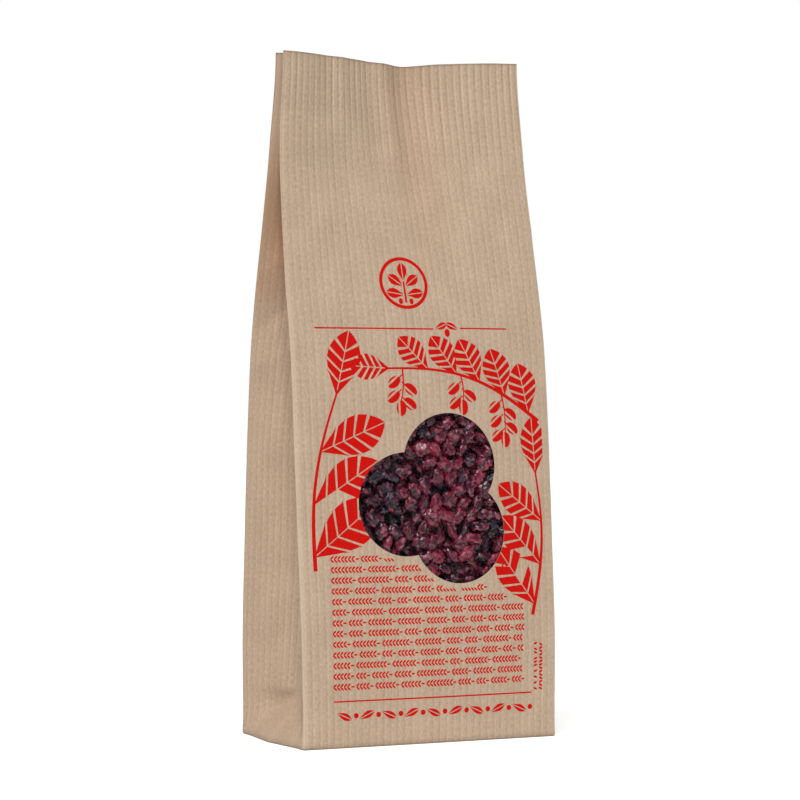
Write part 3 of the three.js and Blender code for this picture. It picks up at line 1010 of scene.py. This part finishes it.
def foot_row():
    """A row of leaves and round berries along the foot."""
    start, z = FOOT_ROW
    outlines = []
    for k in range(9):
        x = start + FOOT_PITCH * k
        lean = 24 if k % 2 else -24
        outlines += leaf(x, z - lean / 24, lean, 5.4, 2.3, 1)
        outlines.append(turned(oval(1.7, 1.7, 14), x + 6.5, z, 0))
    return outlines


def emblem():
    """A twig of five leaves with two berries, in a ring."""
    x, z = EMBLEM
    angles = [math.tau * k / RING_STEPS for k in range(RING_STEPS + 1)]
    ring = [(RING_RADIUS * math.cos(angle), RING_RADIUS * math.sin(angle)) for angle in angles]
    quarter = RING_STEPS // 4
    outlines = [stroke(turned(ring[k:k + quarter + 1], x, z, 0), 1.1) for k in range(0, RING_STEPS, quarter)]
    outlines.append(stroke([(x, z - 6.4), (x, z + 0.6)], 0.8, 0.6))
    for degrees, up in ((90, 0.9), (36, -0.9), (144, -0.9), (8, -3.8), (172, -3.8)):
        side = math.cos(math.radians(degrees))
        outlines += leaf(x + 0.7 * side, z + up, degrees, 5.9, 3.4, 1)
    for side in (-1, 1):
        outlines.append(turned(oval(2.0, 1.5, 12), x + 1.9 * side, z - 6.0, 90))
    return outlines


def print_motifs():
    """The outlines of each printed motif, and whether the window's edge cuts it."""
    dice = random.Random(5)
    rules = [bar(-36.5, 132.6, 40.5, 0.45), bar(13.5, 132.9, 17.0, 0.45), bar(-34.4, 14.6, 70, 0.45)]
    ornament = leaf(4.8, 132.8, 24, 4.6, 2.2, 1) + leaf(12.8, 132.8, 156, 4.6, 2.2, 1)
    ornament.append(turned(oval(2.6, 1.9), 8.8, 131.6, 90))
    left_stem = arc((-39.5, 56), (-30, 113), 3.5, 40)
    right_stem = arc((36, 40), (38.5, 87), -3, 40)
    top_stem = arc((40.5, 103), (-14, 120), -6, 40)
    racemes = []
    for spot, berries, lean in ((36, 4, -1), (22, 3, 0.5), (11, 5, 1)):
        racemes += raceme(*top_stem[spot], berries, lean)
    return {
        "print_rules": (rules, False),
        "print_emblem": (emblem(), False),
        "print_ornament": (ornament, False),
        "print_left_sprig": (sprig(left_stem, 3, 28, 14.6, 0.75, -52), True),
        "print_right_sprig": (sprig(right_stem, 3, 23, 11.8, 0.8, 50), True),
        "print_top_sprig": (sprig(top_stem, 5, 16.5, 10.4, 0.8, -44), False),
        "print_berries": (racemes, False),
        "print_laurel_rows": (laurel_rows(dice), False),
        "print_side_marks": (side_marks(dice), False),
        "print_foot_row": (foot_row(), False),
    }


def cut_sheet(piece, spot, normal, keep=None):
    """Cuts a flat sheet along one plane. keep is the side that stays, or None for both."""
    edit_all(
        piece, bpy.ops.mesh.bisect, plane_co=Vector(normal) * spot, plane_no=normal,
        clear_inner=keep == "above", clear_outer=keep == "below",
    )


def printed(name, outlines, meets_window, material):
    """One motif as a thin skin of ink on the curved front."""
    faces = []
    for number, points in enumerate(outlines):
        faces.append(plate(f"{name}_{number}", points, lambda x, z: Vector((x, 0, z))))
    piece = joined(faces, name)
    cut_sheet(piece, PRINT_LOW_X, (1, 0, 0), "above")
    cut_sheet(piece, PRINT_HIGH_X, (1, 0, 0), "below")
    for axis, low, high in PRINT_CUTS:
        for k in range(int((high - low) / PRINT_STEP) + 1):
            cut_sheet(piece, low + k * PRINT_STEP, axis)
    mesh = piece.data
    flat = [(vertex.co.x + BAG_WIDTH / 2, vertex.co.z) for vertex in mesh.vertices]
    mark_paper(piece, flat)
    for vertex, (u, z) in zip(mesh.vertices, flat):
        vertex.co = paper_point(u, z, INK_STAND) * MM
    edit_all(piece, bpy.ops.mesh.normals_make_consistent, inside=False)
    for face in mesh.polygons:
        if face.normal.y > 0:
            face.flip()
    finish_with(piece, "SOLIDIFY", thickness=INK_THICK * MM, offset=-1)
    if meets_window:
        punch_window(piece)
    dress(piece, material)


# Materials

# How much the ribs, the fibres and the cloudy stock each change the paper's tone
RIB_TONE = 0.34
GRAIN_TONE = 1.0
CLOUD_TONE = 0.5

# How far the marks turn the paper's colour, the grey of the painted shadow at its foot and of its dark top
# edge, and how deep the ribs are pressed
WEAR_AND_LIGHT_SHARE = 0.3
PAINTED_SHADE_SHARE = 0.8
EDGE_TONE = "5f5348"
RIB_DEPTH = 0.03

# Blender's bands repeat after this length at a scale of 1
BAND = math.tau / 20

# Patterns that are set by how many grains lie in a metre: 600 is one in 1.7 mm, 450 one in 2.2 mm,
# 230 one in 4.3 mm and 90 one in 11 mm
SKIN_MOTTLE = 600.0
SKIN_BLOOM = 450.0
SKIN_WRINKLES = 450.0
FILM_RIPPLES = 230.0
TABLE_GRAIN = 90.0

# How deep the film's ripples and the skin's wrinkles are, and how much of the film's look is its gloss
RIPPLE_DEPTH = 0.6
WRINKLE_DEPTH = 0.9
FILM_GLOSS = 0.005


def flat_noise(material, place, across, up, detail):
    """Noise about 0.5 on the flat sheet, its grains sized in millimetres."""
    stretched = add_node(
        material, "ShaderNodeMapping", {"Vector": place, "Scale": (1 / across, 1 / up, 1)},
    )
    return add_node(
        material, "ShaderNodeTexNoise", {"Vector": stretched.outputs[0], "Scale": 1.0, "Detail": detail},
    ).outputs["Fac"]


def pressed_ribs(material, place):
    """The pressed ribs, about 0: a groove beside a ridge, straight up the sheet, some fainter than others."""
    wave = add_node(
        material, "ShaderNodeTexWave", {"Vector": place, "Scale": BAND / RIB_PITCH},
        wave_type="BANDS", bands_direction="X", wave_profile="SAW",
    )
    section = add_node(material, "ShaderNodeValToRGB", {"Fac": wave.outputs["Fac"]})
    stops = ((0.0, 0.5), (0.18, 0.46), (0.36, 0.0), (0.52, 0.55), (0.66, 1.0), (0.84, 0.54))
    section.color_ramp.elements.remove(section.color_ramp.elements[1])
    start = stops[0][1]
    section.color_ramp.elements[0].color = (start, start, start, 1)
    for spot, height in stops[1:]:
        section.color_ramp.elements.new(spot).color = (height, height, height, 1)
    uneven = flat_noise(material, place, across=2.2, up=50, detail=1)
    each = add_node(
        material, "ShaderNodeMapRange", {"Value": uneven, "From Min": 0.3, "From Max": 0.7, "To Min": 0.3},
    )
    shown = add_node(material, "ShaderNodeAttribute", attribute_name="pressed")
    strength = add_node(
        material, "ShaderNodeMath", {0: each.outputs[0], 1: shown.outputs["Fac"]}, operation="MULTIPLY",
    )
    about_zero = add_node(
        material, "ShaderNodeMath", {0: section.outputs[0], 1: 2.0, 2: -1.0}, operation="MULTIPLY_ADD",
    )
    return add_node(
        material, "ShaderNodeMath", {0: about_zero.outputs[0], 1: strength.outputs[0]}, operation="MULTIPLY",
    ).outputs[0]


def marked(material, base, mark, tone, share):
    """A colour turned towards a tone where the paper has a mark; the marks are wear and painted light and
    shade.
    """
    amount = add_node(material, "ShaderNodeAttribute", attribute_name=mark)
    part = add_node(material, "ShaderNodeMath", {0: amount.outputs["Fac"], 1: share}, operation="MULTIPLY")
    return add_node(
        material, "ShaderNodeMix", {"Factor": part.outputs[0], "A": base, "B": colour(tone)},
        data_type="RGBA",
    ).outputs[2]


def paper_finish(material, light, dark, pale, deep, roughness):
    """Ribbed, fibrous paper between two tones, paler with wear and painted light, deeper in painted shade,
    and greyed by a painted shadow at the foot.
    """
    uv = add_node(material, "ShaderNodeUVMap", uv_map="flat_paper")
    place = add_node(
        material, "ShaderNodeMapping", {"Vector": uv.outputs[0], "Scale": (UV_SPAN, UV_SPAN, UV_SPAN)},
    ).outputs[0]
    ribs = pressed_ribs(material, place)
    grain = flat_noise(material, place, across=0.6, up=1.2, detail=2)
    cloud = flat_noise(material, place, across=9, up=14, detail=3)
    tone = 0.5 - (GRAIN_TONE + CLOUD_TONE) / 2
    for pattern, strength in ((cloud, CLOUD_TONE), (grain, GRAIN_TONE), (ribs, RIB_TONE)):
        tone = add_node(
            material, "ShaderNodeMath", {0: pattern, 1: strength, 2: tone}, operation="MULTIPLY_ADD",
        ).outputs[0]
    shade = add_node(
        material, "ShaderNodeMix", {"Factor": tone, "A": colour(dark), "B": colour(light)},
        data_type="RGBA",
    ).outputs[2]
    # pale is the tone of wear and painted light, deep that of painted shade, and EDGE_TONE that of the
    # painted foot shadow and the dark top edge
    shade = marked(material, shade, "wear_and_painted_light", pale, WEAR_AND_LIGHT_SHARE)
    shade = marked(material, shade, "painted_shade", deep, PAINTED_SHADE_SHARE)
    shade = marked(material, shade, "foot_shadow_and_top_line", EDGE_TONE, 1.0)
    height = add_node(material, "ShaderNodeMath", {0: grain, 1: 0.7, 2: ribs}, operation="MULTIPLY_ADD")
    bump = add_node(
        material, "ShaderNodeBump",
        {"Height": height.outputs[0], "Strength": 0.5, "Distance": RIB_DEPTH * MM},
    )
    return add_node(
        material, "ShaderNodeBsdfPrincipled",
        {"Base Color": shade, "Roughness": roughness, "Normal": bump.outputs[0], "Specular IOR Level": 0.1},
    )


def kraft_paper():
    """Unbleached kraft paper, machine-made with lengthwise ribs: matt, fibrous, paler with wear and painted
    light, and darker in painted shade.
    """
    material = new_material("ribbed_kraft_paper")
    shader = paper_finish(
        material, light="c7ae97", dark="96826d", pale="dccbb6", deep="97613a", roughness=0.85,
    )
    return shown_by(material, shader)


def red_ink():
    """Flexographic red ink on the same ribbed paper: it sinks in, so the ribs and fibres stay visible."""
    material = new_material("red_flexo_ink_on_kraft")
    # The marks' wear, painted light and painted shade fall on the ink as on the paper.
    shader = paper_finish(
        material, light="c60c05", dark="b00903", pale="d0241a", deep="9c0803", roughness=0.8,
    )
    return shown_by(material, shader)


def clear_film():
    """Cast polypropylene film: clear, slightly dimming, rippled by the berries, with a faint soft gloss."""
    material = new_material("clear_polypropylene_film")
    coordinate = add_node(material, "ShaderNodeTexCoord")
    ripples = add_node(
        material, "ShaderNodeTexNoise",
        {"Vector": coordinate.outputs["Object"], "Scale": FILM_RIPPLES, "Detail": 2.0, "Distortion": 0.8},
    )
    bump = add_node(
        material, "ShaderNodeBump",
        {"Height": ripples.outputs["Fac"], "Strength": 1.0, "Distance": RIPPLE_DEPTH * MM},
    )
    clear = add_node(material, "ShaderNodeBsdfTransparent", {"Color": (0.92, 0.92, 0.92, 1)})
    gloss = add_node(
        material, "ShaderNodeBsdfAnisotropic",
        {"Color": (0.9, 0.9, 0.9, 1), "Roughness": 0.1, "Normal": bump.outputs[0]},
    )
    mix = add_node(
        material, "ShaderNodeMixShader", {0: FILM_GLOSS, 1: clear.outputs[0], 2: gloss.outputs[0]},
    )
    return shown_by(material, mix)


def dried_fruit():
    """Dried barberry skin, crimson to blue-black: wrinkled, with small glints and a dusty pink bloom."""
    material = new_material("dried_barberry_skin")
    place = add_node(material, "ShaderNodeTexCoord").outputs["Object"]
    # The tone attribute holds each berry's own tone with its painted highlights and painted shade on ridges,
    # creases and deeper layers
    tone = add_node(material, "ShaderNodeAttribute", attribute_name="tone")
    mottle = add_node(material, "ShaderNodeTexNoise", {"Vector": place, "Scale": SKIN_MOTTLE, "Detail": 1.0})
    uneven = add_node(
        material, "ShaderNodeMath", {0: mottle.outputs["Fac"], 1: 0.75, 2: tone.outputs["Fac"]},
        operation="MULTIPLY_ADD",
    )
    centred = add_node(material, "ShaderNodeMath", {0: uneven.outputs[0], 1: 0.42}, operation="SUBTRACT")
    ramp = add_node(material, "ShaderNodeValToRGB", {"Fac": centred.outputs[0]})
    stops = ((0.0, "12101c"), (0.35, "2e0e24"), (0.65, "5a0e29"), (1.0, "982a42"))
    ramp.color_ramp.elements.remove(ramp.color_ramp.elements[1])
    ramp.color_ramp.elements[0].color = colour(stops[0][1])
    for spot, code in stops[1:]:
        ramp.color_ramp.elements.new(spot).color = colour(code)
    bloom = add_node(material, "ShaderNodeTexNoise", {"Vector": place, "Scale": SKIN_BLOOM, "Detail": 1.0})
    dusty = add_node(
        material, "ShaderNodeMapRange",
        {"Value": bloom.outputs["Fac"], "From Min": 0.57, "From Max": 0.7, "To Max": 0.85},
    )
    skin = add_node(
        material, "ShaderNodeMix", {"Factor": dusty.outputs[0], "A": ramp.outputs[0], "B": colour("a85c70")},
        data_type="RGBA",
    )
    wrinkle = add_node(
        material, "ShaderNodeTexNoise",
        {"Vector": place, "Scale": SKIN_WRINKLES, "Detail": 1.0, "Distortion": 0.6},
    )
    bump = add_node(
        material, "ShaderNodeBump",
        {"Height": wrinkle.outputs["Fac"], "Strength": 1.0, "Distance": WRINKLE_DEPTH * MM},
    )
    shader = add_node(
        material, "ShaderNodeBsdfPrincipled",
        {"Base Color": skin.outputs[2], "Roughness": 0.2, "Normal": bump.outputs[0], "IOR": 1.5,
         "Specular IOR Level": 0.3, "Coat Weight": 0.6, "Coat Roughness": 0.06,
         "Coat Normal": bump.outputs[0]},
    )
    return shown_by(material, shader)


# The studio

CAMERA_PLACE = (-0.39296, -0.82654, 0.10987)
CAMERA_TURN = -25.464
CAMERA_LENS = 125.47

# How bright the studio's walls and the light table are, where the backdrop that shows is 1
STUDIO_GLOW = 0.3
TABLE_GLOW = 0.6


def make_camera():
    """The camera in metres, level, with the long lens that was fitted to the photo."""
    data = bpy.data.cameras.new("camera")
    camera = bpy.data.objects.new("camera", data)
    bpy.context.collection.objects.link(camera)
    camera.location = CAMERA_PLACE
    camera.rotation_euler = (math.radians(90), 0, math.radians(CAMERA_TURN))
    data.lens = CAMERA_LENS
    data.sensor_width = 36
    data.clip_start = 0.01
    data.clip_end = 50
    bpy.context.scene.camera = camera


def sunlight(name, azimuth, elevation, strength, spread):
    """Even light from one side: azimuth counts from the front towards the left."""
    data = bpy.data.lights.new(name, "SUN")
    data.energy = strength
    data.angle = math.radians(spread)
    light = bpy.data.objects.new(name, data)
    bpy.context.collection.objects.link(light)
    across, up = math.radians(azimuth), math.radians(elevation)
    place = Vector((-math.sin(across) * math.cos(up), -math.cos(across) * math.cos(up), math.sin(up)))
    light.rotation_euler = (-place).to_track_quat("-Z", "Y").to_euler()


def light_table():
    """The light table that the bag stands on: matt white acrylic, lit a little from below."""
    material = new_material("white_light_table")
    coordinate = add_node(material, "ShaderNodeTexCoord")
    grain = add_node(
        material, "ShaderNodeTexNoise",
        {"Vector": coordinate.outputs["Object"], "Scale": TABLE_GRAIN, "Detail": 2.0},
    )
    tone = add_node(
        material, "ShaderNodeMix",
        {"Factor": grain.outputs["Fac"], "A": colour("cbcbca"), "B": colour("cececd")}, data_type="RGBA",
    )
    shader = add_node(
        material, "ShaderNodeBsdfPrincipled",
        {"Base Color": tone.outputs[2], "Roughness": 0.9, "Emission Color": (1, 1, 1, 1),
         "Emission Strength": TABLE_GLOW},
    )
    return shown_by(material, shader)


def make_world():
    """A white backdrop. The studio's own walls light the bag less than the backdrop shows."""
    world = bpy.data.worlds.new("studio_white")
    world.use_nodes = True
    ray = add_node(world, "ShaderNodeLightPath")
    strength = add_node(
        world, "ShaderNodeMapRange",
        {"Value": ray.outputs["Is Camera Ray"], "To Min": STUDIO_GLOW, "To Max": 1.0},
    )
    background = world.node_tree.nodes["Background"]
    background.inputs["Color"].default_value = (1, 1, 1, 1)
    world.node_tree.links.new(strength.outputs[0], background.inputs["Strength"])
    bpy.context.scene.world = world


def make_studio():
    """The light table, the backdrop, a large soft light from the left and a small one for the glints."""
    floor = new_primitive(bpy.ops.mesh.primitive_plane_add, "studio_floor", size=8)
    floor.data.materials.append(light_table())
    make_world()
    sunlight("soft_key", azimuth=45, elevation=62, strength=2.1, spread=25)
    sunlight("small_strobe", azimuth=20, elevation=45, strength=0.75, spread=5)
    bpy.context.scene.view_settings.view_transform = "Standard"


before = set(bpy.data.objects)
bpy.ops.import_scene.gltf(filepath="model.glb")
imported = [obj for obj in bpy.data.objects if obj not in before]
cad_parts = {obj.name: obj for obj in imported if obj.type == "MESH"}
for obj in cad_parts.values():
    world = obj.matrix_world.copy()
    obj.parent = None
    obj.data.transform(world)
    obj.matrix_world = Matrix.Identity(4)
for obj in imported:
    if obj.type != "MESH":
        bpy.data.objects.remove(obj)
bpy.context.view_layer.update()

make_camera()
paper = kraft_paper()
make_bag(paper)
make_base(paper)
make_film(clear_film())
fruit = dried_fruit()
make_berries(fruit)
make_bulk(fruit)
ink = red_ink()
for motif, (outlines, meets_window) in print_motifs().items():
    printed(motif, outlines, meets_window, ink)
make_studio()
